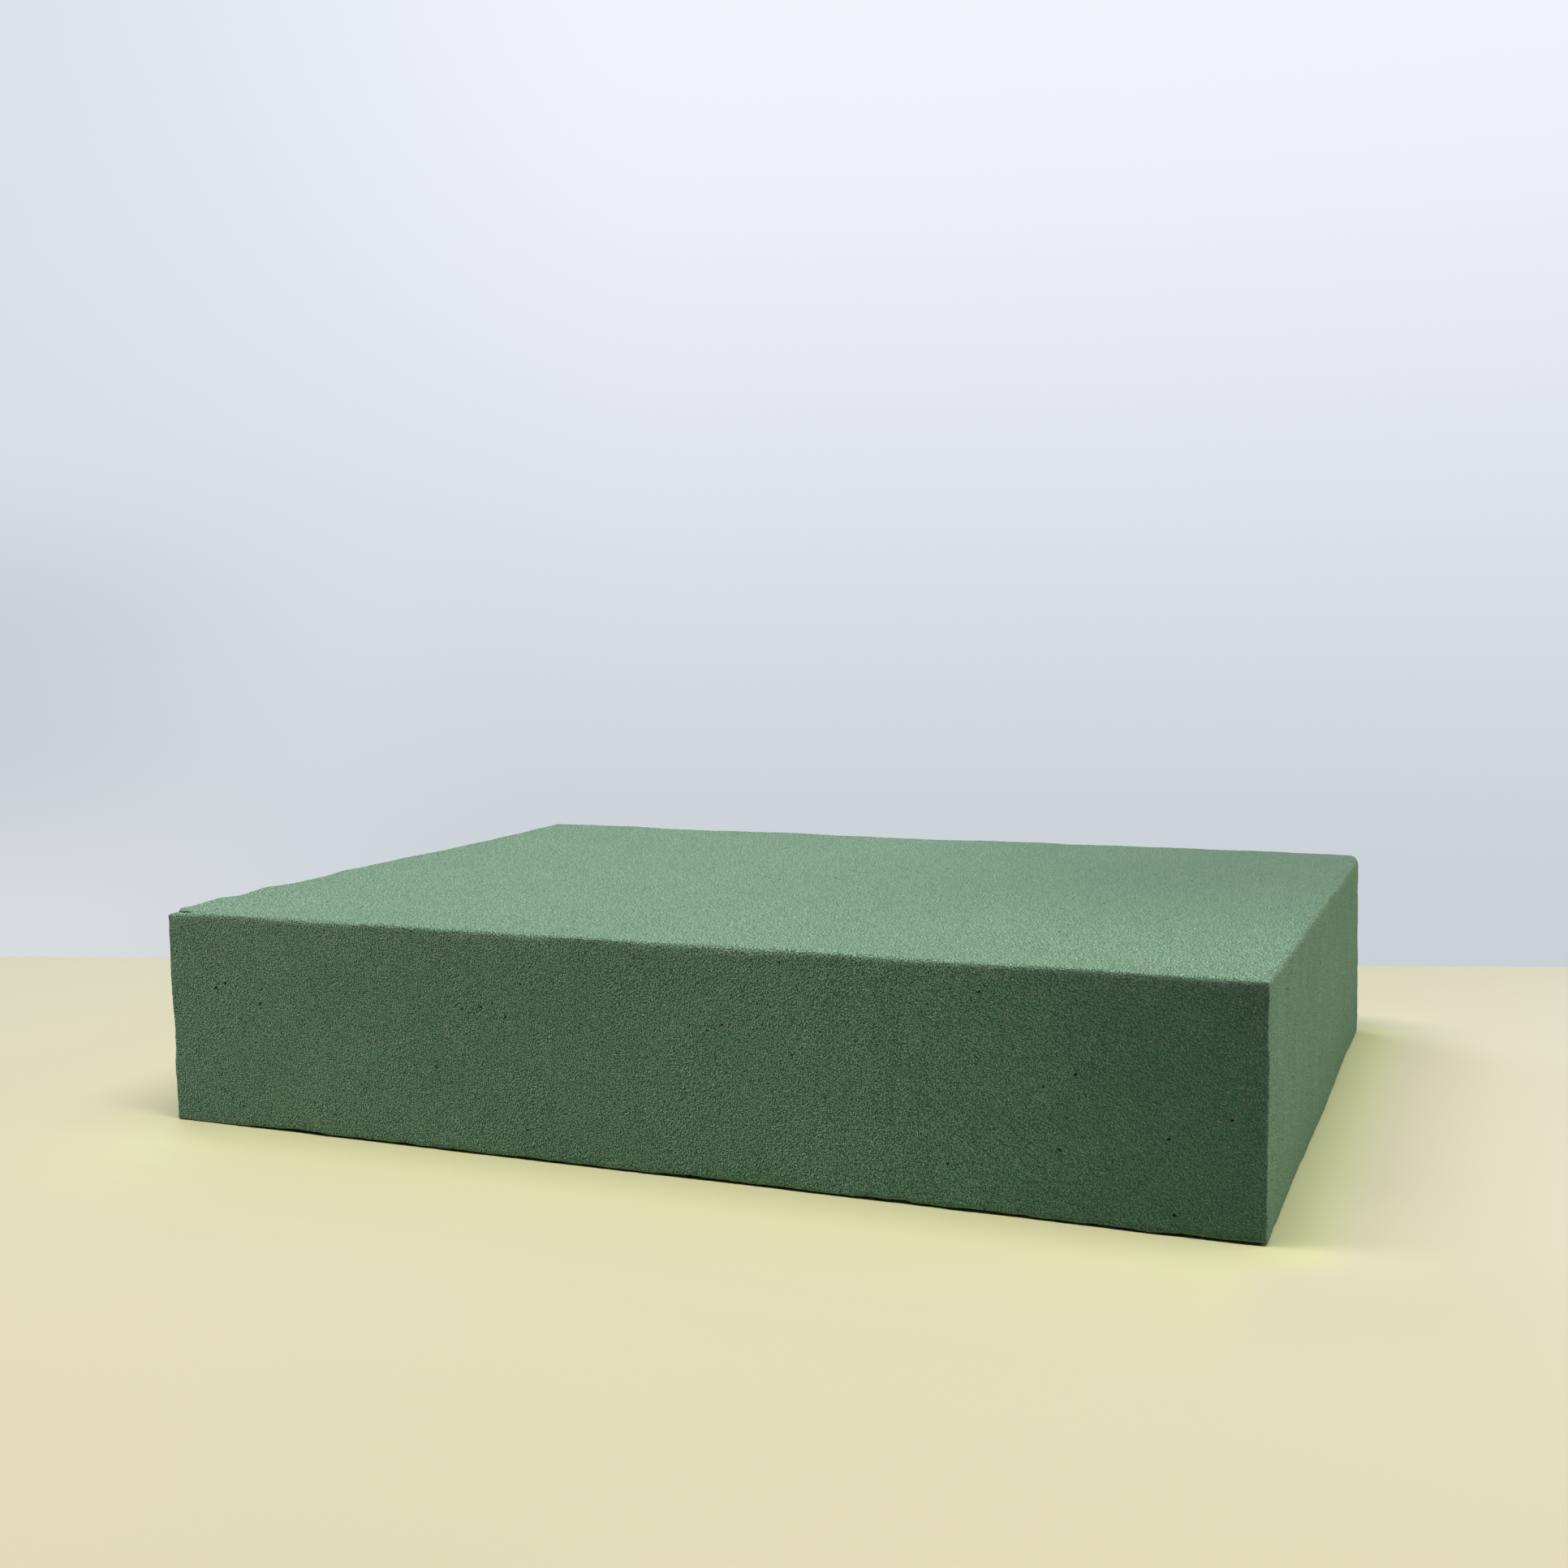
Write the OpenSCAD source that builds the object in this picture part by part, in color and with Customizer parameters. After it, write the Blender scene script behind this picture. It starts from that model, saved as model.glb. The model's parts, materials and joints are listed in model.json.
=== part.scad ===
// Large rectangular block of wet floral foam, sawn from one slab.
// It is a single piece of rigid open-cell foam with no core, no skin and
// nothing set into it.
// Origin at the centre of the base face. +X runs along the length, +Y from
// the front face to the back face, +Z up. All sizes are in millimetres.

/* [Block] */
// Length, between the two end faces
block_length = 480; // [200:1:600]
// Depth, from the front face to the back face
block_depth = 356; // [100:1:450]
// Height of the slab
block_height = 95; // [40:1:150]

/* [Sawn faces] */
// How far the foot of the left end face stands in from its top
left_end_lean = 1.6; // [0:0.1:6]

/* [Worn edges] */
// Radius of the two upright edges of the right end
right_upright_r = 3.6; // [0.5:0.1:8]
// Radius of the two upright edges of the left end
left_upright_r = 1.6; // [0.5:0.1:8]
// Radius of the top edge of the right end
right_top_r = 3.2; // [0.5:0.1:8]
// Radius of the top edge of the left end
left_top_r = 1.4; // [0.5:0.1:8]
// Radius of the long top edges, front and back
long_top_r = 2.4; // [0.5:0.1:8]
// Radius of all the bottom edges
bottom_r = 1.2; // [0.5:0.1:4]

/* [Hidden] */
$fn = 64;
foam_colour = "#4a7259";
past = 5;  // how far each cutting outline runs past the block

// A straight-sided convex outline with a true arc at each corner.
// corners is a list of [x, y, radius], taken anticlockwise.
module arc_cornered(corners) {
    n = len(corners);
    function at(i) = [corners[(i + n) % n][0], corners[(i + n) % n][1]];
    function toward(i, j) = (at(j) - at(i)) / norm(at(j) - at(i));
    // half the angle between the two sides that meet at corner i
    function half(i) = acos(toward(i, i + 1) * toward(i, i - 1)) / 2;
    function run(i) = corners[i][2] / tan(half(i));
    function centre(i) =
        let (b = toward(i, i + 1) + toward(i, i - 1))
        at(i) + b / norm(b) * corners[i][2] / sin(half(i));
    union() {
        polygon([for (i = [0 : n - 1]) each [
            at(i) + toward(i, i - 1) * run(i),
            at(i) + toward(i, i + 1) * run(i)
        ]]);
        for (i = [0 : n - 1])
            translate(centre(i)) circle(r = corners[i][2]);
    }
}

// Seen from above: the four upright edges
module plan_outline() {
    x = block_length / 2;
    y = block_depth / 2;
    arc_cornered([
        [-x, -y, left_upright_r], [x, -y, right_upright_r],
        [x, y, right_upright_r], [-x, y, left_upright_r]
    ]);
}

// Seen from the front: the leaning left end and the edges across both ends
module front_outline() {
    x = block_length / 2;
    arc_cornered([
        [-x + left_end_lean, 0, bottom_r], [x, 0, bottom_r],
        [x, block_height, right_top_r], [-x, block_height, left_top_r]
    ]);
}

// Seen from the right end: the long edges
module end_outline() {
    y = block_depth / 2;
    arc_cornered([
        [-y, 0, bottom_r], [y, 0, bottom_r],
        [y, block_height, long_top_r], [-y, block_height, long_top_r]
    ]);
}

// The block is what the three outlines have in common
module foam_block() {
    color(foam_colour)
    intersection() {
        translate([0, 0, -past])
            linear_extrude(height = block_height + 2 * past) plan_outline();
        translate([0, block_depth / 2 + past, 0]) rotate([90, 0, 0])
            linear_extrude(height = block_depth + 2 * past) front_outline();
        translate([-block_length / 2 - past, 0, 0]) rotate([90, 0, 90])
            linear_extrude(height = block_length + 2 * past) end_outline();
    }
}

foam_block();
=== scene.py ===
import json
import math

import bpy
import numpy as np
from mathutils import Matrix, Vector
from mathutils.geometry import delaunay_2d_cdt

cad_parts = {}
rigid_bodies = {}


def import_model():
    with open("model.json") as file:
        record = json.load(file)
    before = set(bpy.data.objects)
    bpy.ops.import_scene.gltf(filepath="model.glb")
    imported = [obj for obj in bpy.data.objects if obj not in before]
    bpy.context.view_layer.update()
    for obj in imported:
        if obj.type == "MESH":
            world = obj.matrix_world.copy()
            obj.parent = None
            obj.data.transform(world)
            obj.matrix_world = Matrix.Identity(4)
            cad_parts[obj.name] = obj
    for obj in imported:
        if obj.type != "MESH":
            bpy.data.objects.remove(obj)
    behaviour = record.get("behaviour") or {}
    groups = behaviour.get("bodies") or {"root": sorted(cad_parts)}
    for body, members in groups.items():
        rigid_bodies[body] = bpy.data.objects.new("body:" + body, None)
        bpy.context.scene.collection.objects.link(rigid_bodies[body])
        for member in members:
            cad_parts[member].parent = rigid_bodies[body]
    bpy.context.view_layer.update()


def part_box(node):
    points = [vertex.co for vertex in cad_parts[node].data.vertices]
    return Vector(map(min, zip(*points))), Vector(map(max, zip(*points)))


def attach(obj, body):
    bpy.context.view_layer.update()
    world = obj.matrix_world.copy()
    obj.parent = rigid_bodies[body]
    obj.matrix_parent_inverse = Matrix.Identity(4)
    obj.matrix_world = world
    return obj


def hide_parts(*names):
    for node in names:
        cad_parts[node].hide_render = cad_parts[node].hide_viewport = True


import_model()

scene = bpy.context.scene

# ---------------------------------------------------------------- the block
# Everything in this section is in millimetres and is scaled to metres when
# the mesh is written.

MM = 1000.0
node_lo, node_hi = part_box("foam_block")
LO = np.round(np.array(node_lo) * MM, 1)
HI = np.round(np.array(node_hi) * MM, 1)
SIZE = HI - LO
MID = (LO + HI) / 2
X, Y, Z = 0, 1, 2
LEAN = 1.6  # how far the foot of the left end stands in


def waves(p, scale, n, seed, squash=(1.0, 1.0, 1.0)):
    """Smooth noise of about -1..1 with features of about `scale` mm."""
    r = np.random.default_rng(seed)
    k = r.normal(size=(n, 3))
    k /= np.linalg.norm(k, axis=1)[:, None]
    k *= (2 * math.pi / scale) * r.uniform(0.6, 1.7, (n, 1))
    k *= np.array(squash)
    phase = r.uniform(0, 2 * math.pi, n)
    total = np.zeros(len(p))
    for i in range(n):
        total += np.cos(p @ k[i] + phase[i])
    return total / math.sqrt(n / 2.0)


def smooth(a, b, x):
    t = np.clip((x - a) / (b - a), 0, 1)
    return t * t * (3 - 2 * t)


# Each of the twelve edges: the axis it runs along, and which side of the box
# it is on along the other two. The radius is what handling has worn it to.
def edge_radius(axis, side, s):
    """Worn radius along an edge, s from 0 at its low end to 1 at its high end."""
    seed = 100 + axis * 10 + (side[0] > 0) * 2 + (side[1] > 0)
    at = np.zeros((len(s), 3))
    at[:, 0] = s * SIZE[axis]
    slow = waves(at, 70.0, 10, seed)
    fast = waves(at, 13.0, 12, seed + 40)
    far = smooth(0.55, 1.0, s)
    if axis == Z:  # upright edges; side is (x, y)
        base = (3.0 + 1.7 * far if side[1] > 0 else 1.3) if side[0] > 0 else 1.5
    elif axis == X:  # long edges; side is (y, z)
        base = 2.3 if side[1] > 0 else 1.5
        if side == (1, 1):
            base = base + 2.8 * smooth(0.88, 1.0, s)
    else:  # across the ends; side is (x, z)
        base = (3.0 + 2.0 * far if side[0] > 0 else 1.5) if side[1] > 0 else 1.2
    r = base * (1 + 0.12 * slow + 0.04 * fast)
    if axis == X and side == (-1, -1):  # front foot: crisp only at the left
        r *= 0.5 + 0.6 * smooth(0.06, 0.12, s)
    return np.clip(r, 0.35, 9.0)


EDGES = [
    (axis, (a, b)) for axis in (X, Y, Z) for a in (-1, 1) for b in (-1, 1)
]


def others(axis):
    return [k for k in (X, Y, Z) if k != axis]


def radius_field(p):
    """The radius at any point of the sharp box, led by the nearest edge."""
    top = np.zeros(len(p))
    bottom = np.zeros(len(p))
    for axis, side in EDGES:
        i, j = others(axis)
        di = p[:, i] - (HI[i] if side[0] > 0 else LO[i])
        dj = p[:, j] - (HI[j] if side[1] > 0 else LO[j])
        d2 = di * di + dj * dj
        w = 1.0 / (d2 * d2 + 4.0)
        s = (p[:, axis] - LO[axis]) / SIZE[axis]
        top += w * edge_radius(axis, side, s)
        bottom += w
    return top / bottom


# Points along every edge are shared by the two faces that meet there.
def cuts(length, step, r, jitter=0.28):
    n = max(2, int(round(length / step)))
    s = np.linspace(0, length, n + 1)
    s[1:-1] += r.uniform(-jitter, jitter, n - 1) * length / n
    return s


edge_cuts = {
    (axis, side): cuts(SIZE[axis], 1.7, np.random.default_rng(500 + 7 * k))
    for k, (axis, side) in enumerate(EDGES)
}

# The crack at the front left top corner, in mm from that corner: it starts on
# the left edge, runs just behind the front edge and turns in across the top.
CRACK = [(0.0, 9.6), (2.6, 5.6), (7.6, 2.6), (12.6, 2.1), (17.4, 2.6), (20.4, 4.6), (20.2, 8.2), (18.0, 12.6), (16.6, 17.2)]
CRACK_HALF = 0.42
left_top = edge_cuts[(Y, (-1, 1))]
at_crack = CRACK[0][1] + CRACK_HALF * np.array((-1.0, 0.0, 1.0))
left_top = left_top[np.abs(left_top - CRACK[0][1]) > 1.1]
edge_cuts[(Y, (-1, 1))] = np.sort(np.concatenate([left_top, at_crack]))


def crack_lines():
    """Three lines of points along the crack: near lip, bottom, far lip."""
    fine = [CRACK[0]]
    for (u0, v0), (u1, v1) in zip(CRACK, CRACK[1:]):
        n = max(1, int(round(math.hypot(u1 - u0, v1 - v0) / 1.1)))
        fine += [(u0 + (u1 - u0) * k / n, v0 + (v1 - v0) * k / n) for k in range(1, n + 1)]
    fine = np.array(fine)
    r = np.random.default_rng(61)
    fine[1:-1] += r.uniform(-0.16, 0.16, (len(fine) - 2, 2))
    run = np.gradient(fine, axis=0)
    run /= np.linalg.norm(run, axis=1)[:, None]
    off = np.stack([-run[:, 1], run[:, 0]], 1)
    off[0] = (0.0, 1.0)
    share = np.linspace(0, 1, len(fine))
    width = CRACK_HALF * np.interp(share, (0, 0.40, 0.58, 0.78, 1), (1, 0.6, 1.0, 0.8, 0.15))[:, None]
    return fine - off * width, fine, fine + off * width


# Rings of points beside the edges carry the rounding and the chips.
RINGS = [(0.45, 1.7), (1.0, 1.7), (1.7, 1.9), (2.6, 2.2), (3.8, 2.8), (5.6, 3.6)]
INNER_STEP = 5.4

# Broken-open cells, per square centimetre: radius range in mm and count.
PITS_BIG = (0.44, 0.86, 0.16)
PITS_SMALL = (0.24, 0.42, 0.70)


def pit_places(w, h, r, face_key):
    """Centres and radii of the open cells of one face, kept apart."""
    area = w * h / 100.0
    wanted = []
    for (a, b, per_cm2), big in ((PITS_BIG, True), (PITS_SMALL, False)):
        n = int(area * per_cm2)
        u = r.uniform(0, 1, n)
        rad = a + (b - a) * u ** 1.5
        wanted += [(x, big) for x in sorted(rad, reverse=True)]
    cell = 4.0
    grid = {}
    placed = []
    for rad, big in wanted:
        for _ in range(12):
            u = r.uniform(rad + 0.9, w - rad - 0.9)
            v = r.uniform(rad + 0.9, h - rad - 0.9)
            # open cells come in loose drifts, not evenly
            drift = math.sin(u * 0.043 + face_key) * math.cos(v * 0.051 - face_key)
            if r.uniform() > 0.72 + 0.45 * drift:
                continue
            gu, gv = int(u / cell), int(v / cell)
            clear = all(
                (u - q[0]) ** 2 + (v - q[1]) ** 2 > (rad * 1.3 + q[2] * 1.3 + 0.5) ** 2
                for a in (-1, 0, 1)
                for b in (-1, 0, 1)
                for q in grid.get((gu + a, gv + b), ())
            )
            if clear:
                grid.setdefault((gu, gv), []).append((u, v, rad))
                placed.append((u, v, rad, big))
                break
    return placed, grid, cell


def face_mesh(axis, side):
    """One face of the sharp box, triangulated: positions, pit depths, triangles, rim pairs."""
    i, j = others(axis)
    w, h = SIZE[i], SIZE[j]
    key = axis * 2 + (side > 0)
    r = np.random.default_rng(900 + key)
    pts, depth = [], []

    def add(u, v, d=0.0):
        pts.append((u, v))
        depth.append(d)
        return len(pts) - 1

    # the outline, anticlockwise from the low corner
    def shared(run, at_axis, at_side):
        want = tuple(
            side if k == axis else at_side for k in others(run)
        )
        return edge_cuts[(run, want)]

    low = shared(i, j, -1)
    right = shared(j, i, 1)
    high = shared(i, j, 1)
    left = shared(j, i, -1)
    loop = [add(u, 0.0) for u in low[:-1]]
    loop += [add(w, v) for v in right[:-1]]
    loop += [add(u, h) for u in high[::-1][:-1]]
    loop += [add(0.0, v) for v in left[::-1][:-1]]

    cracked = axis == Z and side > 0
    crack = crack_lines() if cracked else None
    pits, grid, cell = pit_places(w, h, r, key)
    if cracked:
        pits = [q for q in pits if q[0] > 28 or q[1] > 24]

    def free(u, v, gap=0.35):
        gu, gv = int(u / cell), int(v / cell)
        for a in (-1, 0, 1):
            for b in (-1, 0, 1):
                for q in grid.get((gu + a, gv + b), ()):
                    if (u - q[0]) ** 2 + (v - q[1]) ** 2 < (q[2] * 1.35 + gap) ** 2:
                        return False
        if cracked and u < 26 and v < 22:
            return np.min(np.hypot(*(crack[1] - (u, v)).T)) > 0.95
        return True

    for d, step in RINGS:
        ww, hh = w - 2 * d, h - 2 * d
        for u in cuts(ww, step, r):
            for v in (d, h - d):
                if free(d + u, v):
                    add(d + u, v)
        for v in cuts(hh, step, r)[1:-1]:
            for u in (d, w - d):
                if free(u, d + v):
                    add(u, d + v)
    inset = RINGS[-1][0] + 2.6
    nu = int((w - 2 * inset) / INNER_STEP)
    nv = int((h - 2 * inset) / INNER_STEP)
    su, sv = (w - 2 * inset) / nu, (h - 2 * inset) / nv
    for a in range(nu + 1):
        for b in range(nv + 1):
            u = inset + (a + (0.5 if b % 2 and a < nu else 0.0)) * su
            v = inset + b * sv
            u += r.uniform(-0.22, 0.22) * su
            v += r.uniform(-0.22, 0.22) * sv
            if free(u, v):
                add(u, v)

    # the open cells: a ragged rim, an undercut-free wall and a floor point
    rims = []
    for u, v, rad, big in pits:
        n = 8 if big else 5
        turn = r.uniform(0, 2 * math.pi)
        long_ = r.uniform(1.0, 1.35)
        tilt = r.uniform(0, math.pi)
        deep = rad * r.uniform(1.1, 1.9)
        ring = []
        shapes = [(1.0, 0.0), (0.62, 0.72)] if big else [(1.0, 0.0)]
        for share, down in shapes:
            at = []
            for k in range(n):
                t = turn + 2 * math.pi * k / n + r.uniform(-0.14, 0.14)
                q = rad * share * r.uniform(0.86, 1.12)
                ca, sa = math.cos(t) * long_, math.sin(t) / long_
                du = q * (ca * math.cos(tilt) - sa * math.sin(tilt))
                dv = q * (ca * math.sin(tilt) + sa * math.cos(tilt))
                at.append(add(u + du, v + dv, deep * down))
            if share == 1.0:
                ring = at
        add(u + r.uniform(-0.1, 0.1) * rad, v + r.uniform(-0.1, 0.1) * rad, deep)
        rims += [(ring[k], ring[(k + 1) % n]) for k in range(n)]

    if cracked:
        lines = []
        for line, bottom in zip(crack, (0.0, 1.0, 0.0)):
            fade = np.interp(np.linspace(0, 1, len(line)), (0, 0.40, 0.58, 0.78, 1), (1.3, 0.9, 1.4, 1.0, 0.3))
            fade *= bottom
            lines.append([add(q[0], q[1], d) for q, d in zip(line[1:], fade[1:])])
        starts = [
            next(k for k in loop if pts[k][0] == 0.0 and abs(pts[k][1] - line[0][1]) < 1e-6)
            for line in crack
        ]
        for start, line in zip(starts, lines):
            chain = [start] + line
            rims += list(zip(chain, chain[1:]))
        depth[starts[1]] = 1.3
    out = delaunay_2d_cdt(
        [Vector(q) for q in pts], rims, [loop], 1, 1e-6, True
    )
    uv = np.array([(q.x, q.y) for q in out[0]])
    came_from = out[3]
    dep = np.array([depth[c[0]] if c else 0.0 for c in came_from])
    new_of = {}
    for new, old in enumerate(came_from):
        for c in old:
            new_of[c] = new
    tris = np.array([f for f in out[2] if len(f) == 3], int)
    pos = np.zeros((len(uv), 3))
    pos[:, i] = LO[i] + uv[:, 0]
    pos[:, j] = LO[j] + uv[:, 1]
    pos[:, axis] = HI[axis] if side > 0 else LO[axis]
    # i, j in increasing order turn X, Z the other way about for the Y faces
    flip = (side > 0) == (axis == Y)
    if flip:
        tris = tris[:, ::-1]
    rim_pairs = [(new_of[a], new_of[b]) for a, b in rims if a in new_of and b in new_of]
    return pos, dep, tris, rim_pairs


all_pos, all_dep, all_tri, all_rim = [], [], [], []
index, count = {}, 0
for axis in (X, Y, Z):
    for side in (-1, 1):
        pos, dep, tris, rims = face_mesh(axis, side)
        names = []
        for q, d in zip(pos, dep):
            k = (round(q[0], 4), round(q[1], 4), round(q[2], 4))
            if k not in index:
                index[k] = count
                count += 1
                all_pos.append(q)
                all_dep.append(d)
            names.append(index[k])
        names = np.array(names)
        all_tri.append(names[tris])
        all_rim += [(int(names[a]), int(names[b])) for a, b in rims]
P0 = np.array(all_pos)
PIT = np.array(all_dep)
TRI = np.vstack(all_tri)

# ---- rounding
rad = radius_field(P0)[:, None]
inner = np.minimum(np.maximum(P0, LO + rad), HI - rad)
out_dir = P0 - inner
out_dir /= np.linalg.norm(out_dir, axis=1)[:, None]
P = inner + rad * out_dir

# ---- distance to the nearest edge of the sharp box, for wear and shading
d_low = np.abs(P0 - LO)
d_high = np.abs(HI - P0)
d_side = np.sort(np.minimum(d_low, d_high), axis=1)
edge_far = d_side[:, 1]  # 0 on an edge, the smallest inset on a face

# ---- the saw leaves each face slightly out of flat
away = smooth(0.0, 14.0, edge_far)
drift = 0.22 * waves(P0, 170.0, 10, 11) + 0.06 * waves(P0, 42.0, 14, 12) - 0.35
ragged = 0.07 * waves(P0, 9.0, 26, 13) + 0.06 * waves(P0, 4.5, 30, 14)
on_top = smooth(0.3, 0.6, out_dir[:, Z])
right_foot = smooth(HI[X] - 5.0, HI[X], P0[:, X]) * (1 - smooth(0.0, 8.0, P0[:, Z]))
uneven = ragged * (0.35 + (0.65 - 0.60 * on_top) * (1 - smooth(0.0, 5.0, edge_far)))
uneven += 0.10 * waves(P0, 34.0, 12, 16) * (1 - smooth(0.0, 14.0, edge_far))
push = drift + uneven * (1 - 0.85 * right_foot)
upright = 1 - np.abs(out_dir[:, Z])
push += upright * 0.07 * waves(P0, 3.6, 24, 15, (1.0, 1.0, 0.06))  # saw marks
P = P + out_dir * push[:, None]


# ---- dents and chips: a ball pressed into the foam from outside
def dent(centre, radius, wobble, seed):
    global P
    v = P - centre
    d = np.linalg.norm(v, axis=1)
    reach = radius * (1 + wobble * waves(P0, radius * 0.55, 8, seed))
    hit = d < reach
    if hit.any():
        P[hit] = centre + v[hit] / d[hit, None] * reach[hit, None]


def chip(axis, side, s, depth, radius, seed, lean=0.5):
    """Takes a bite of the given depth from an edge at s mm from its low end."""
    i, j = others(axis)
    c = np.zeros(3)
    c[axis] = LO[axis] + s
    c[i] = HI[i] if side[0] > 0 else LO[i]
    c[j] = HI[j] if side[1] > 0 else LO[j]
    out = np.zeros(3)
    out[i] = side[0] * lean
    out[j] = side[1] * (1 - lean)
    out /= np.linalg.norm(out)
    dent(c + out * (radius - depth), radius, 0.10, seed)


chips = np.random.default_rng(4242)
for k, (axis, side) in enumerate(EDGES):
    top_edge = axis != Z and side[1] > 0
    # the foot of the right end is cut clean
    clean = (axis, side) == (Y, (1, -1))
    n = int(SIZE[axis] / (400.0 if clean else 95.0 if top_edge else 52.0))
    for _ in range(n):
        size = chips.uniform() ** 2.6
        chip(
            axis,
            side,
            chips.uniform(6, SIZE[axis] - 6),
            (0.3 if clean else 0.35 + 0.7 * size) if top_edge or clean else 0.5 + 1.1 * size,
            2.0 + 5.0 * size,
            int(chips.integers(1, 9999)),
            chips.uniform(0.3, 0.7),
        )

# ---- the front left top corner has gone down behind its crack
u = P0[:, X] - LO[X]
v = P0[:, Y] - LO[Y]
CU, CV = (np.array(c) for c in zip(*CRACK[:4]))
lip = np.interp(u, np.append(CU, 15.0), np.append(CV, 0.0), right=-1.0)
sunk = (v < lip - 0.10) * 1.35 * (1 - u / 15.0).clip(0, 1) ** 0.8
sunk *= smooth(HI[Z] - 7.0, HI[Z], P0[:, Z])
P[:, Z] -= sunk
swell = 0.95 * np.exp(-(((v - 33) / 10.5) ** 2)) + 0.85 * np.exp(-(((v - 67) / 9.0) ** 2))
swell -= 0.35 * np.exp(-(((v - 110) / 18.0) ** 2))
P[:, Z] += swell * np.exp(-((u / 20.0) ** 2)) * smooth(HI[Z] - 30.0, HI[Z], P0[:, Z])

# ---- broken-open cells
P = P - out_dir * PIT[:, None]

# ---- the left end leans in at its foot
share = np.clip(-(P0[:, X] - MID[X]) / (SIZE[X] / 2), 0, 1)
P[:, X] += LEAN * (1 - np.clip(P[:, Z], 0, SIZE[Z]) / SIZE[Z]) * share

# ---- the base: flat where it stands, drawn up a little along the front foot
foot = smooth(0.9, 0.99, -out_dir[:, Z])
P[:, Z] = np.where(foot > 0.5, np.maximum(P[:, Z] * 0.6, 0.0), np.maximum(P[:, Z], 0.0))
near_front = (1 - smooth(0.0, 9.0, v)) * smooth(26.0, 46.0, u)
lift = near_front * (0.50 + 0.13 * waves(P0, 46.0, 10, 31) + 0.11 * waves(P0, 15.0, 10, 32))
low_share = 1 - smooth(0.0, 5.0, P0[:, Z])
P[:, Z] += np.clip(lift, 0, None) * low_share
P[:, Z] = np.maximum(P[:, Z], 0.0)

# ---- write the mesh
mesh = bpy.data.meshes.new("foam_body")
mesh.from_pydata((P / MM).tolist(), [], TRI.tolist())
mesh.update()
mesh.validate()
block = bpy.data.objects.new("foam_body", mesh)
scene.collection.objects.link(block)
mesh.polygons.foreach_set("use_smooth", np.ones(len(mesh.polygons), bool))

pairs = {(min(a, b), max(a, b)) for a, b in all_rim}
ends = np.zeros(len(mesh.edges) * 2, int)
mesh.edges.foreach_get("vertices", ends)
ends = np.sort(ends.reshape(-1, 2), axis=1)
rim_flag = np.array([(a, b) in pairs for a, b in ends.tolist()])
sharp = mesh.attributes.new("sharp_edge", "BOOLEAN", "EDGE") if "sharp_edge" not in mesh.attributes else mesh.attributes["sharp_edge"]
sharp.data.foreach_set("value", rim_flag)


def point_value(name, values):
    a = mesh.attributes.new(name, "FLOAT", "POINT")
    a.data.foreach_set("value", values.astype(np.float32))


wear = np.exp(-np.clip(edge_far, 0, None) / 2.4)
wear = np.clip(wear * (0.85 + 0.35 * waves(P0, 22.0, 14, 51)), 0, 1)
point_value("wear", wear)
# painted shade: the deeper an open cell or the crack's groove, the darker its colour
pit_shade = np.clip(PIT / 0.45, 0, 1)
point_value("pit", pit_shade)
point_value("end_cut", (np.abs(out_dir[:, X]) > 0.8).astype(float))
# painted shade, kept in drift: the right of the long face and the far right of its top
# are darkened where shade fell on them, and the right end darker towards its foot
u = (P0[:, X] - LO[X]) / SIZE[X]
v = (P0[:, Y] - LO[Y]) / SIZE[Y]
face_front = smooth(0.5, 0.9, -out_dir[:, Y])
face_top = smooth(0.5, 0.9, out_dir[:, Z])
tone = 1 + face_front * (0.05 - 0.07 * smooth(0.0, 0.5, u) - 0.42 * smooth(0.62, 1.04, u))
tone -= face_top * 0.25 * smooth(0.40, 0.98, u) * smooth(0.08, 0.75, v)
face_end = smooth(0.5, 0.9, out_dir[:, X])
tone -= face_end * 0.11 * (1 - smooth(0.0, 48.0, P0[:, Z]))
point_value("drift", tone)
point_value("lid", face_top)
point_value("speckle", face_front * smooth(0.58, 0.90, u))
band = face_front * np.exp(-(HI[Z] - P0[:, Z]) / 5.5) * (0.35 + 0.65 * u)
point_value("band", np.clip(band * (1 + 0.25 * waves(P0, 24.0, 12, 52)), 0, 1))

print("foam_body:", len(mesh.vertices), "vertices,", len(mesh.polygons), "triangles")

# ------------------------------------------------------------- foam material


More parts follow.
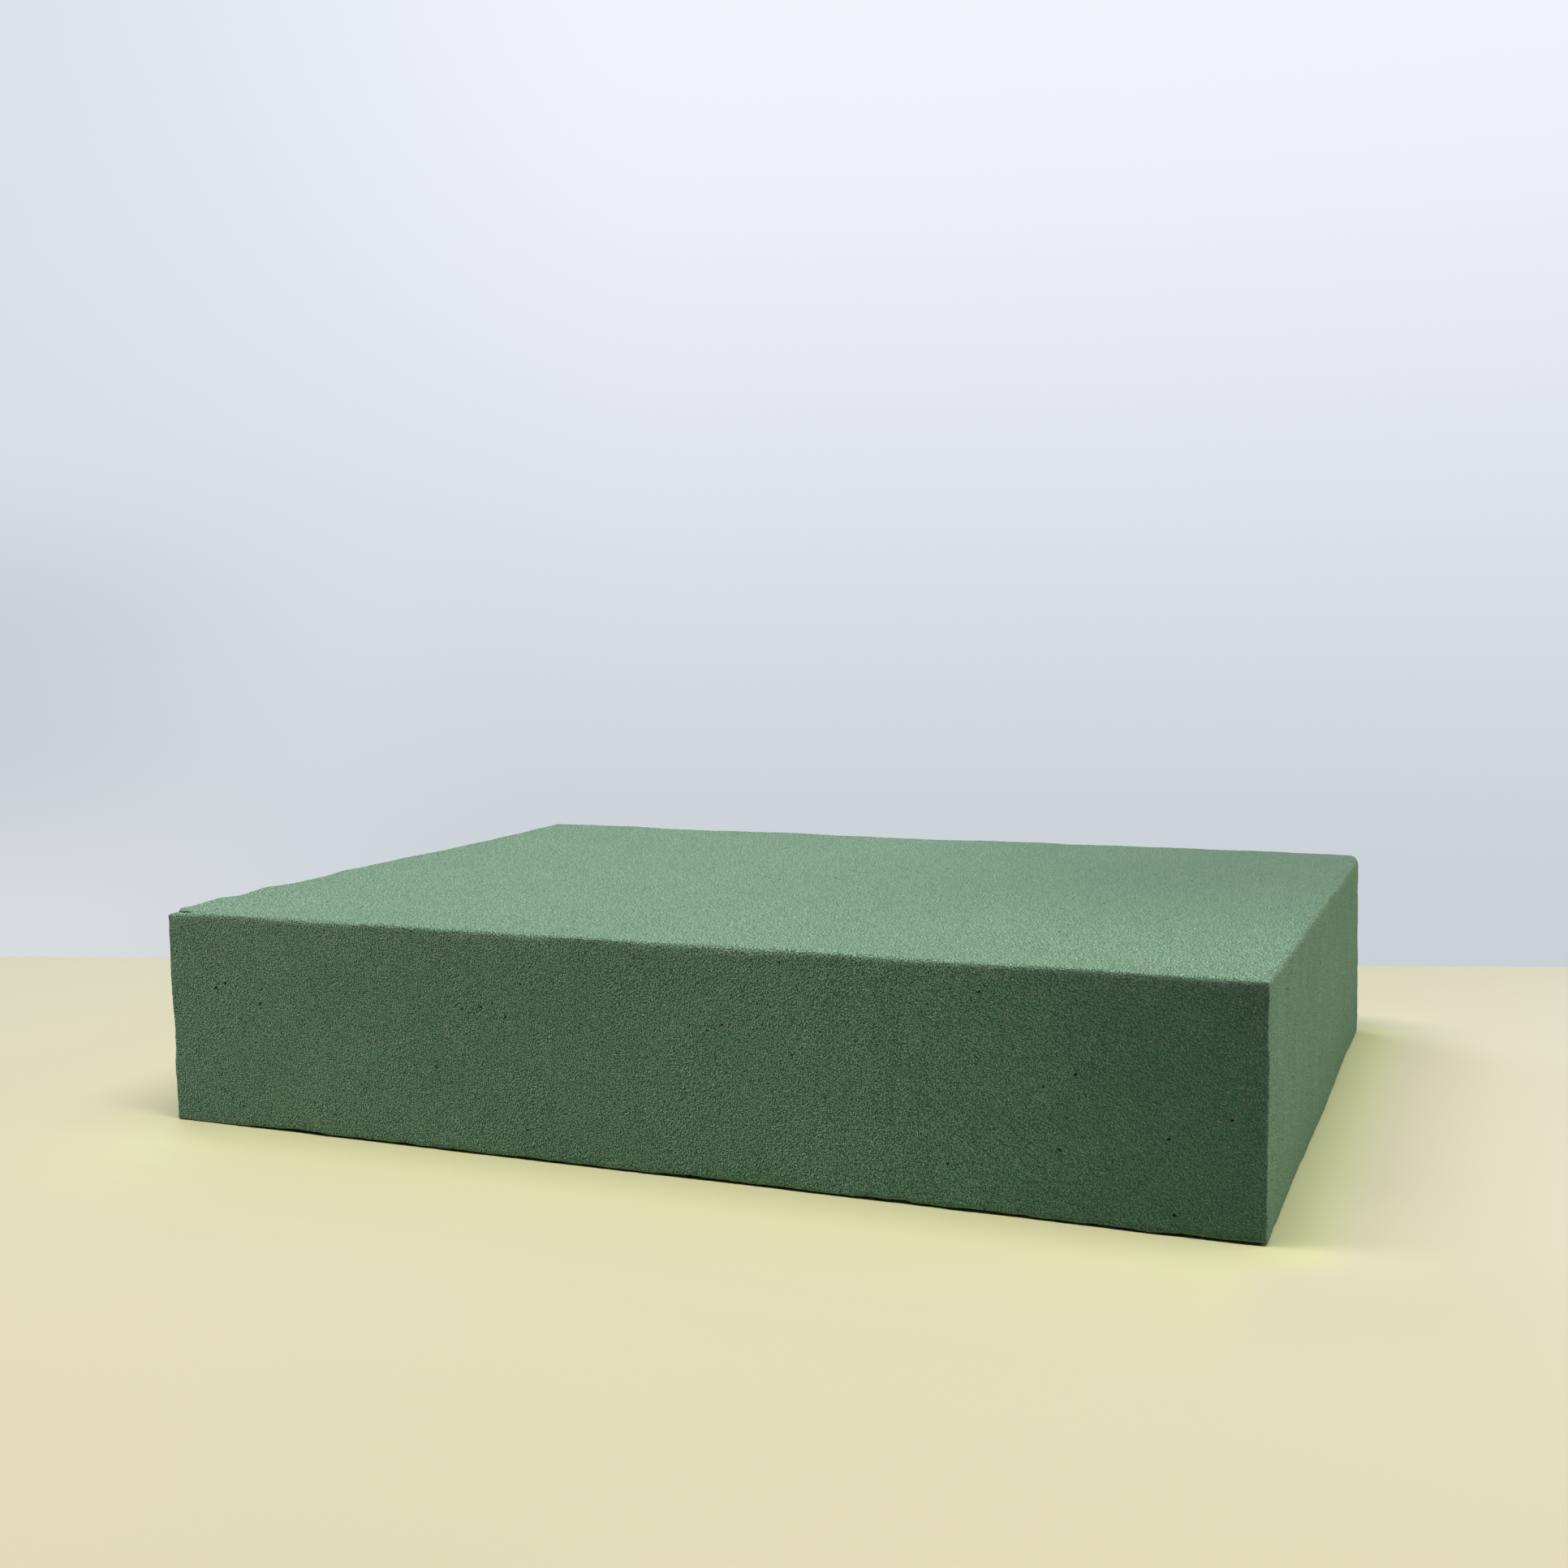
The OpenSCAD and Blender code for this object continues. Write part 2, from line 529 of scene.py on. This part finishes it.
class Nodes:
    """A short way to write a shader: each call adds a node and returns an output."""

    def __init__(self, tree):
        self.tree = tree

    def put(self, socket, value):
        if isinstance(value, bpy.types.NodeSocket):
            self.tree.links.new(value, socket)
        elif value is not None:
            socket.default_value = value

    def node(self, kind, **props):
        n = self.tree.nodes.new(kind)
        for k, v in props.items():
            setattr(n, k, v)
        return n

    def math(self, op, a, b=None, c=None, clamp=False):
        n = self.node("ShaderNodeMath", operation=op, use_clamp=clamp)
        for k, v in enumerate((a, b, c)):
            self.put(n.inputs[k], v)
        return n.outputs[0]

    def span(self, value, a, b, lo=0.0, hi=1.0):
        n = self.node("ShaderNodeMapRange", interpolation_type="SMOOTHSTEP")
        for k, v in enumerate((value, a, b, lo, hi)):
            self.put(n.inputs[k], v)
        return n.outputs[0]

    def mix(self, share, a, b, how="MIX"):
        n = self.node("ShaderNodeMix", data_type="RGBA", blend_type=how)
        self.put(n.inputs[0], share)
        self.put(n.inputs[6], a)
        self.put(n.inputs[7], b)
        return n.outputs[2]

    def noise(self, at, scale, detail=2.0, rough=0.5):
        n = self.node("ShaderNodeTexNoise")
        self.put(n.inputs["Vector"], at)
        self.put(n.inputs["Scale"], scale)
        self.put(n.inputs["Detail"], detail)
        self.put(n.inputs["Roughness"], rough)
        return n.outputs[0]

    def cells(self, at, scale, feature="F1", spread=1.0):
        n = self.node("ShaderNodeTexVoronoi", feature=feature)
        self.put(n.inputs["Vector"], at)
        self.put(n.inputs["Scale"], scale)
        self.put(n.inputs["Randomness"], spread)
        return n

    def toned(self, colour, tone):
        """A colour made darker or lighter by a number."""
        n = self.node("ShaderNodeVectorMath", operation="SCALE")
        self.put(n.inputs[0], colour)
        self.put(n.inputs["Scale"], tone)
        return n.outputs[0]

    def value(self, name):
        return self.node("ShaderNodeAttribute", attribute_name=name).outputs["Fac"]


def rgb(r, g, b):
    return (r, g, b, 1.0)


foam = bpy.data.materials.new("floral_foam")
foam.use_nodes = True
foam.node_tree.nodes.clear()
n = Nodes(foam.node_tree)
here = n.node("ShaderNodeTexCoord").outputs["Object"]
axes = n.node("ShaderNodeSeparateXYZ")
n.put(axes.inputs[0], here)
wear_in, pit_shade_in, end_in = (n.value(k) for k in ("wear", "pit", "end_cut"))

speckle = n.value("speckle")
lid = n.value("lid")

# slow drifts of tone across the slab
blotch = n.noise(here, 16.0, 3.0, 0.55)
patch = n.noise(here, 55.0, 3.0, 0.6)
colour = n.mix(n.span(blotch, 0.36, 0.64), rgb(0.067, 0.221, 0.151), rgb(0.085, 0.240, 0.169))
colour = n.mix(n.span(patch, 0.40, 0.68, 0.0, 0.45), colour, rgb(0.096, 0.232, 0.164))

# handling leaves the edges paler and greyer
rub = n.math("MULTIPLY", wear_in, n.span(patch, 0.30, 0.62, 0.35, 1.0))
colour = n.mix(n.math("MULTIPLY", rub, 0.34), colour, rgb(0.140, 0.235, 0.172))
colour = n.mix(n.math("MULTIPLY", n.value("band"), 0.36), colour, rgb(0.190, 0.226, 0.205))

# the cut cells: greener and browner ones side by side, each at its own tone,
# drawn out a little in the way the blade went
drag = n.node("ShaderNodeMapping", vector_type="TEXTURE")
n.put(drag.inputs["Vector"], here)
drag.inputs["Rotation"].default_value = (0.0, math.radians(-50), 0.0)
drag.inputs["Scale"].default_value = (1.7, 1.0, 1.0)
cell = n.cells(here, 2600.0)
cell_pick = n.node("ShaderNodeSeparateColor")
n.put(cell_pick.inputs[0], cell.outputs["Color"])
facet = cell_pick.outputs[0]
grain = n.noise(drag.outputs[0], 2500.0, 1.0, 0.5)
# painted light and shade: a copy of the grain moved a little, so that grain minus it gives bright and dark
# pairs as from bumps lit from above
beyond = n.node("ShaderNodeVectorMath", operation="ADD")
n.put(beyond.inputs[0], drag.outputs[0])
beyond.inputs[1].default_value = (0.0, 0.0, 0.00046)
lee = n.noise(beyond.outputs[0], 2500.0, 1.0, 0.5)
tint = n.noise(here, 2300.0, 1.0, 0.6)
tint = n.math("MULTIPLY_ADD", facet, 0.10, tint)
hue = n.noise(here, 900.0, 2.0, 0.6)
hue_share = n.math("MULTIPLY_ADD", lid, 0.55, 0.20)
colour = n.mix(n.math("MULTIPLY", n.span(hue, 0.50, 0.66), hue_share), colour, rgb(0.170, 0.232, 0.160))
colour = n.mix(n.math("MULTIPLY", n.span(hue, 0.50, 0.34), hue_share), colour, rgb(0.070, 0.262, 0.205))
mottle = n.noise(here, 240.0, 3.0, 0.65)
mottle_share = n.math("MULTIPLY_ADD", speckle, 0.10, 0.12)
brown = n.math("MULTIPLY", n.span(mottle, 0.50, 0.64), mottle_share)
colour = n.mix(brown, colour, rgb(0.135, 0.200, 0.152))
deep = n.math("MULTIPLY", n.span(mottle, 0.50, 0.36), mottle_share)
colour = n.mix(deep, colour, rgb(0.040, 0.235, 0.145))
pink = n.math("MULTIPLY_ADD", end_in, 0.30, n.math("MULTIPLY_ADD", speckle, -0.12, 0.44))
pink = n.math("MULTIPLY", n.span(tint, 0.56, 0.70), pink)
colour = n.mix(pink, colour, rgb(0.250, 0.208, 0.200))
colour = n.mix(n.span(tint, 0.53, 0.40, 0.0, 0.50), colour, rgb(0.052, 0.230, 0.142))
# each cell against two neighbours, so that no wide blotches build up
against = facet
for step in ((0.00040, 0.00010, 0.00022), (-0.00020, 0.00030, 0.00042)):
    moved = n.node("ShaderNodeVectorMath", operation="ADD")
    n.put(moved.inputs[0], here)
    moved.inputs[1].default_value = step
    pick_there = n.node("ShaderNodeSeparateColor")
    n.put(pick_there.inputs[0], n.cells(moved.outputs[0], 2600.0).outputs["Color"])
    against = n.math("MULTIPLY_ADD", pick_there.outputs[0], -0.5, against)
tone = n.math("MULTIPLY", against, n.math("MULTIPLY_ADD", speckle, 1.02, 1.38))
# painted light and shade: the grain against its shifted copy, a bright and a dark side on each grain, weaker
# on the cut end
lit_side = n.math("MULTIPLY_ADD", end_in, -0.20, 1.0)
lit_side = n.math("MULTIPLY", n.math("SUBTRACT", grain, lee), lit_side)
tone = n.math("MULTIPLY_ADD", lit_side, n.math("MULTIPLY_ADD", speckle, -2.25, 3.50), tone)
# the top gets its own, longer grain, also taken against a shifted copy: random tone with painted light and
# shade of bumps
stretch = n.node("ShaderNodeVectorMath", operation="MULTIPLY")
n.put(stretch.inputs[0], here)
stretch.inputs[1].default_value = (1.0, 0.36, 1.0)
stretch_b = n.node("ShaderNodeVectorMath", operation="ADD")
n.put(stretch_b.inputs[0], stretch.outputs[0])
stretch_b.inputs[1].default_value = (0.00050, 0.00012, 0.0)
lid_grain_and_painted_relief = n.math(
    "SUBTRACT",
    n.noise(stretch.outputs[0], 2200.0, 1.0, 0.5),
    n.noise(stretch_b.outputs[0], 2200.0, 1.0, 0.5),
)
tone = n.math("MULTIPLY_ADD", n.math("MULTIPLY", lid_grain_and_painted_relief, lid), 3.20, tone)
tone = n.math("MAXIMUM", tone, -0.80)
# painted shade: the drift attribute darkens the cell tone here
tone = n.math("MULTIPLY", tone, n.math("POWER", n.value("drift"), 1.6))
# a cell toned up, by random tone and by painted light, goes paler and greyer; one toned down, by random tone
# and by painted shade, a deeper green
shift = n.node("ShaderNodeVectorMath", operation="SCALE")
shift.inputs[0].default_value = (0.178, 0.232, 0.192)
n.put(shift.inputs["Scale"], tone)
speckled = n.node("ShaderNodeVectorMath", operation="ADD")
n.put(speckled.inputs[0], colour)
n.put(speckled.inputs[1], shift.outputs[0])
floor_tone = n.node("ShaderNodeVectorMath", operation="MAXIMUM")
n.put(floor_tone.inputs[0], speckled.outputs[0])
floor_tone.inputs[1].default_value = (0.008, 0.020, 0.012)
# painted shade: the drift attribute darkens the whole colour here
colour = n.toned(floor_tone.outputs[0], n.value("drift"))
# each face gets its own colour scale, set to match how that face looks under its light: painted light and
# shade per face, partly the cut end's and the top's own colours
greener = n.node("ShaderNodeVectorMath", operation="MULTIPLY")
n.put(greener.inputs[0], colour)
own = n.mix(end_in, rgb(0.90, 0.940, 0.945), rgb(0.73, 0.960, 0.74))
n.put(greener.inputs[1], n.mix(lid, own, rgb(0.925, 0.920, 0.845)))
colour = greener.outputs[0]

# pale crumbs, painted glints, and the painted shade of pinholes too small to be in the mesh
dust = n.cells(here, 420.0)
dust_pick = n.node("ShaderNodeSeparateColor")
n.put(dust_pick.inputs[0], dust.outputs["Color"])
bright = n.math(
    "MULTIPLY",
    n.span(dust.outputs["Distance"], 0.10, 0.20, 1.0, 0.0),
    n.math("GREATER_THAN", dust_pick.outputs[0], 0.86),
)
dusty = n.math("MULTIPLY", bright, n.math("MULTIPLY_ADD", speckle, -0.30, 0.70))
colour = n.mix(dusty, colour, rgb(0.30, 0.335, 0.28))
# painted highlight: a few single cells painted pale, as glints
glint = n.math("MULTIPLY", n.math("GREATER_THAN", cell_pick.outputs[1], 0.9975), 0.50)
colour = n.mix(glint, colour, rgb(0.40, 0.50, 0.41))
# painted shade: pinholes too small for the mesh are painted dark, as well as dented in the bump
pin = n.cells(here, 430.0)
pin_pick = n.node("ShaderNodeSeparateColor")
n.put(pin_pick.inputs[0], pin.outputs["Color"])
pin_size = n.math("MULTIPLY_ADD", pin_pick.outputs[1], 0.17, 0.08)
hole = n.span(n.math("SUBTRACT", pin_size, pin.outputs["Distance"]), 0.0, 0.06)
hole = n.math("MULTIPLY", hole, n.math("GREATER_THAN", pin_pick.outputs[2], 0.55))
colour = n.mix(n.math("MULTIPLY", hole, 0.85), colour, rgb(0.012, 0.030, 0.016))
# painted shade in the open cells and the crack's groove
colour = n.mix(n.math("MULTIPLY", pit_shade_in, 0.80), colour, rgb(0.010, 0.022, 0.012))

# upright saw streaks on the cut ends
along = n.node("ShaderNodeVectorMath", operation="MULTIPLY")
n.put(along.inputs[0], here)
along.inputs[1].default_value = (1.0, 1.0, 0.045)
streak = n.noise(along.outputs[0], 420.0, 3.0, 0.6)
streak_amount = n.math("MULTIPLY_ADD", end_in, 0.10, 0.05)
streak_tone = n.math(
    "MULTIPLY_ADD", n.math("SUBTRACT", streak, 0.5), n.math("MULTIPLY", streak_amount, 4.0), 1.0
)
colour = n.toned(colour, streak_tone)

# relief below the mesh: cells, pinholes, streaks
height = n.math("MULTIPLY_ADD", grain, 1.2, n.math("MULTIPLY", facet, 0.30))
height = n.math("MULTIPLY_ADD", streak, n.math("MULTIPLY", streak_amount, 2.0), height)
height = n.math("MULTIPLY_ADD", hole, -1.3, height)
height = n.math("MULTIPLY_ADD", tint, 0.8, height)
bump = n.node("ShaderNodeBump")
bump.inputs["Strength"].default_value = 0.65
bump.inputs["Distance"].default_value = 0.00055
n.put(bump.inputs["Height"], height)

skin = n.node("ShaderNodeBsdfPrincipled")
n.put(skin.inputs["Base Color"], colour)
n.put(skin.inputs["Roughness"], n.math("MULTIPLY_ADD", grain, 0.14, 0.82))
skin.inputs["Specular IOR Level"].default_value = 0.22
skin.inputs["Sheen Weight"].default_value = 0.20
skin.inputs["Sheen Roughness"].default_value = 0.55
n.put(skin.inputs["Normal"], bump.outputs[0])
out = n.node("ShaderNodeOutputMaterial")
n.put(out.inputs["Surface"], skin.outputs[0])
mesh.materials.append(foam)

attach(block, "root")
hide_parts("foam_block")

# --------------------------------------------------------------- the setting
table_mat = bpy.data.materials.new("pale_table")
table_mat.use_nodes = True
t = Nodes(table_mat.node_tree)
table_skin = table_mat.node_tree.nodes["Principled BSDF"]
where = t.node("ShaderNodeTexCoord").outputs["Object"]
cloud = t.noise(where, 2.2, 2.0, 0.5)
flat = t.node("ShaderNodeSeparateXYZ")
t.put(flat.inputs[0], where)
beside = [
    t.math(
        "MAXIMUM",
        t.math("SUBTRACT", t.math("ABSOLUTE", flat.outputs[k]), float(SIZE[k]) / 2 / MM),
        0.0,
    )
    for k in (X, Y)
]
gap = t.math(
    "SQRT",
    t.math("ADD", t.math("POWER", beside[0], 2.0), t.math("POWER", beside[1], 2.0)),
)
pale = t.mix(t.span(cloud, 0.3, 0.7), rgb(0.476, 0.458, 0.340), rgb(0.464, 0.452, 0.330))
on_right = t.math("MULTIPLY", t.span(flat.outputs[X], 0.10, 0.50), t.span(flat.outputs[Y], -0.42, -0.12))
pale = t.mix(on_right, pale, rgb(0.515, 0.522, 0.440))
pale = t.mix(t.span(flat.outputs[X], -0.15, -0.55), pale, rgb(0.457, 0.462, 0.350))
# painted light: the table goes greener close to the block, the green light the foam throws onto it
green = t.mix(t.span(flat.outputs[X], 0.215, 0.260), rgb(0.484, 0.520, 0.313), rgb(0.535, 0.582, 0.317))
near = t.math("MULTIPLY", t.span(gap, 0.0, 0.13, 0.85, 0.0), t.span(flat.outputs[X], -0.29, -0.20, 0.25, 1.0))
close = t.span(gap, 0.002, 0.036, 0.90, 0.0)
beside_end = t.span(flat.outputs[X], 0.225, 0.250)
near = t.math("ADD", t.math("MULTIPLY", near, t.math("SUBTRACT", 1.0, beside_end)), t.math("MULTIPLY", close, beside_end))
near = t.math("MULTIPLY", near, t.span(flat.outputs[Y], 0.18, 0.24, 1.0, 0.0))
# painted light: the table is a little paler just to the right of the block, a pool of light painted in
painted_pool = t.math("MULTIPLY", t.span(gap, 0.0, 0.018), t.span(gap, 0.080, 0.018))
painted_pool = t.math("MULTIPLY", painted_pool, t.span(flat.outputs[X], 0.23, 0.27))
painted_pool = t.math("MULTIPLY", painted_pool, t.span(flat.outputs[Y], -0.08, -0.15, 0.08, 0.15))
painted_pool = t.math("MULTIPLY", painted_pool, t.span(flat.outputs[Y], -0.235, -0.150))
t.put(table_skin.inputs["Base Color"], t.toned(t.mix(near, pale, green), t.math("ADD", painted_pool, 1.0)))
table_skin.inputs["Roughness"].default_value = 0.75
table_skin.inputs["Specular IOR Level"].default_value = 0.15

# The camera stands where the fitted view has it, and turns with that view.
PX = 1932.0
FOCAL = 2239.0
YAW, PITCH, ROLL = (math.radians(a) for a in (-22.267, 5.211, 0.595))
T = np.array((0.5756, -1.6696, 0.4614)) * SIZE[X] / MM
c, s = math.cos(YAW), math.sin(YAW)
turn_back = np.array(((c, s, 0), (-s, c, 0), (0, 0, 1)))
eye = turn_back @ T + np.array((LO[X], LO[Y], LO[Z])) / MM
forward = turn_back @ np.array((0, math.cos(PITCH), -math.sin(PITCH)))
up0 = turn_back @ np.array((0, math.sin(PITCH), math.cos(PITCH)))
right0 = turn_back @ np.array((1.0, 0, 0))
right = right0 * math.cos(ROLL) - up0 * math.sin(ROLL)
up = right0 * math.sin(ROLL) + up0 * math.cos(ROLL)
cam_data = bpy.data.cameras.new("camera")
cam_data.sensor_width = 36.0
cam_data.lens = 36.0 * FOCAL / PX
cam_data.clip_start = 0.01
cam_data.clip_end = 50.0
camera = bpy.data.objects.new("camera", cam_data)
scene.collection.objects.link(camera)
frame_axes = np.eye(4)
frame_axes[:3, 0], frame_axes[:3, 1], frame_axes[:3, 2], frame_axes[:3, 3] = right, up, -forward, eye
camera.matrix_world = Matrix(frame_axes.tolist())
scene.camera = camera

# The table top: its back edge runs behind the block, a little aslant.
ahead = np.array((forward[0], forward[1])) / math.hypot(forward[0], forward[1])
across = np.array((ahead[1], -ahead[0]))
corners = []
for a, b in ((-1.7, -0.3), (1.7, -0.3), (1.7, 1.0082), (-1.7, 1.3148)):
    q = eye[:2] + across * a + ahead * b
    corners.append((q[0], q[1], -0.00005))
floor_mesh = bpy.data.meshes.new("table_top")
floor_mesh.from_pydata(corners, [], [(0, 1, 2, 3)])
floor_mesh.materials.append(table_mat)
floor = bpy.data.objects.new("table_top", floor_mesh)
scene.collection.objects.link(floor)


def panel(name, at, aim, size, energy, colour=(1.0, 1.0, 1.0)):
    data = bpy.data.lights.new(name, "AREA")
    data.shape = "RECTANGLE"
    data.size, data.size_y = size
    data.energy = energy
    data.color = colour
    lamp = bpy.data.objects.new(name, data)
    lamp.location = at
    lamp.rotation_mode = "QUATERNION"
    lamp.rotation_quaternion = (Vector(aim) - Vector(at)).to_track_quat("-Z", "Y")
    lamp.visible_camera = False
    scene.collection.objects.link(lamp)
    return lamp


lamps = [
    panel("overhead", (0.0, -0.42, 1.9), (0.0, 0.0, 0.05), (2.4, 0.5), 54.5, (1.0, 0.90, 0.81)),
    panel("over_back", (0.0, 0.15, 1.9), (0.0, 0.0, 0.05), (2.4, 0.6), 17.0, (0.885, 0.94, 1.0)),
    panel("right_side", (1.5, 0.3, 0.8), (0.0, 0.0, 0.05), (0.8, 0.8), 5.6, (0.85, 1.0, 0.80)),
    panel("left_back", (-1.2, 0.9, 1.3), (0.0, 0.0, 0.05), (1.0, 1.0), 10.2, (0.75, 0.87, 1.0)),
]

world = bpy.data.worlds.new("room")
world.use_nodes = True
scene.world = world
w = Nodes(world.node_tree)
world.node_tree.nodes.clear()
look = w.node("ShaderNodeTexCoord").outputs["Generated"]
split = w.node("ShaderNodeSeparateXYZ")
w.put(split.inputs[0], look)
rise = w.span(split.outputs[2], -0.20, 0.34)
# it falls off to the left, with one soft shadow low down there
side_on = w.node("ShaderNodeVectorMath", operation="DOT_PRODUCT")
w.put(side_on.inputs[0], look)
side_on.inputs[1].default_value = (float(across[0]), float(across[1]), 0.0)
leftward = w.math("MULTIPLY", side_on.outputs["Value"], -1.0)
low = w.mix(w.span(leftward, 0.12, 0.40), rgb(0.585, 0.640, 0.680), rgb(0.690, 0.708, 0.745))
high = w.mix(w.span(leftward, 0.05, 0.42), rgb(0.885, 0.905, 0.960), rgb(0.700, 0.760, 0.815))
wall = w.mix(rise, low, high)
shade = w.math(
    "MULTIPLY",
    w.span(leftward, 0.20, 0.42),
    w.span(w.math("ABSOLUTE", w.math("ADD", split.outputs[2], 0.03)), 0.02, 0.13, 0.65, 0.0),
)
wall = w.mix(shade, wall, rgb(0.520, 0.575, 0.615))
seen = w.node("ShaderNodeBackground")
w.put(seen.inputs[0], wall)
seen.inputs[1].default_value = 1.0
soft = w.node("ShaderNodeBackground")
soft.inputs[0].default_value = rgb(0.92, 0.96, 1.0)
soft.inputs[1].default_value = 0.02
pick = w.node("ShaderNodeMixShader")
w.put(pick.inputs[0], w.node("ShaderNodeLightPath").outputs["Is Camera Ray"])
w.put(pick.inputs[1], soft.outputs[0])
w.put(pick.inputs[2], seen.outputs[0])
w.put(w.node("ShaderNodeOutputWorld").inputs[0], pick.outputs[0])

scene.view_settings.view_transform = "Standard"
scene.view_settings.look = "None"
